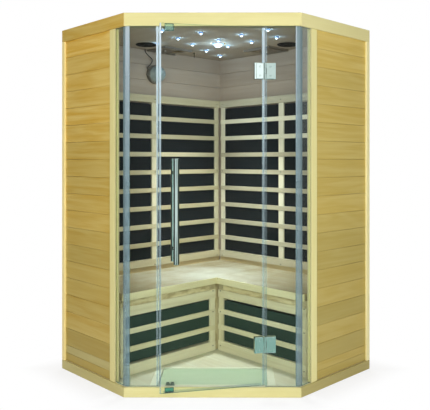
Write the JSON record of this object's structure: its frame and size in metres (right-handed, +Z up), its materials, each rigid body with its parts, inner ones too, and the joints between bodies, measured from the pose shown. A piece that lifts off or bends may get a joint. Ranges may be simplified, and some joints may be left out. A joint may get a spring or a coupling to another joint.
{
  "type": "infrared sauna cabin",
  "caption": "Five-sided corner infrared sauna cabin: timber walls, frameless glass front with a hinged glass door, L-shaped bench, slatted carbon heaters and ceiling lights.",
  "frame": {"origin": "on the floor, midway between the front face and the back corner", "axes": "+Z up, the glass front faces -Y, +X to the right of a person who faces the door"},
  "size_m": [1.731, 1.4398, 1.9],
  "materials": {
    "pale_timber": "satin clear-coated pale hemlock",
    "honey_boards": "satin honey-coloured boards",
    "inside_boards": "bare sanded boards",
    "slat_timber": "bare sanded slats",
    "bench_timber": "bare sanded boards",
    "roof_plywood": "raw plywood",
    "heater_carbon": "matt carbon heater sheet",
    "floor_pad": "woven cover of a floor heater in a timber frame",
    "clear_glass": "clear toughened glass",
    "clear_strip": "clear extruded corner strip",
    "chrome": "polished",
    "dark_steel": "dark satin",
    "speaker_black": "matt cloth grille",
    "star_light": "clear light tips",
    "lamp_metal": "satin",
    "lamp_lens": "frosted",
    "cable_black": "matt",
    "panel_black": "smooth",
    "box_steel": "satin"
  },
  "bodies": {
    "cabin": {"base_front_board": "pale_timber", "crown_front_board": "pale_timber", "front_head_rail": "pale_timber", "left_front_post": "pale_timber", "right_front_post": "pale_timber", "base_left_board": "honey_boards", "base_right_board": "honey_boards", "crown_left_board": "honey_boards", "crown_right_board": "honey_boards", "left_side_panel": "honey_boards", "right_side_panel": "honey_boards", "back_left_wall": "inside_boards", "back_right_wall": "inside_boards", "ceiling_panel": "inside_boards", "left_back_grille": "slat_timber", "right_back_grille": "slat_timber", "left_kick_grille": "slat_timber", "right_kick_grille": "slat_timber", "bench_cleat": "slat_timber", "left_vent_frame": "slat_timber", "right_vent_frame": "slat_timber", "floor_panel": "bench_timber", "left_bench_seat": "bench_timber", "right_bench_seat": "bench_timber", "roof_cover": "roof_plywood", "left_corner_heater": "heater_carbon", "left_end_heater": "heater_carbon", "right_corner_heater": "heater_carbon", "right_end_heater": "heater_carbon", "left_kick_heater": "heater_carbon", "right_kick_heater": "heater_carbon", "floor_heater": "floor_pad", "left_return_pane": "clear_glass", "right_return_pane": "clear_glass", "left_fixed_pane": "clear_glass", "right_fixed_pane": "clear_glass", "left_corner_strip": "clear_strip", "right_corner_strip": "clear_strip", "upper_hinge_pane_leaf": "chrome", "lower_hinge_pane_leaf": "chrome", "bottom_catch": "dark_steel", "top_catch": "dark_steel", "left_speaker": "speaker_black", "right_speaker": "speaker_black", "star_lights": "star_light", "wall_lamp_housing": "lamp_metal", "wall_lamp_lens": "lamp_lens", "wall_lamp_lead": "cable_black", "temperature_probe": "cable_black", "control_panel": "panel_black", "power_box": "box_steel"},
    "door": {"door_glass": "clear_glass", "upper_hinge_door_leaf": "chrome", "lower_hinge_door_leaf": "chrome", "outer_door_handle": "chrome", "inner_door_handle": "chrome", "door_bottom_strike": "dark_steel", "door_top_strike": "dark_steel"},
    "left_shutter": {"left_vent_shutter": "bench_timber"},
    "right_shutter": {"right_vent_shutter": "bench_timber"}
  },
  "joints": [
    {"name": "door_swing", "type": "hinge", "parent": "cabin", "child": "door", "pos_m": [0.26, -0.6366, 0.942], "axis": [0, 0, 1], "range_deg": [-13, 77]},
    {"name": "left_vent_slide", "type": "slide", "parent": "cabin", "child": "left_shutter", "axis": [-0.7071, -0.7071, 0], "range_m": [-0.082, 0.003]},
    {"name": "right_vent_slide", "type": "slide", "parent": "cabin", "child": "right_shutter", "axis": [0.7071, -0.7071, 0], "range_m": [-0.055, 0.03]}
  ]
}
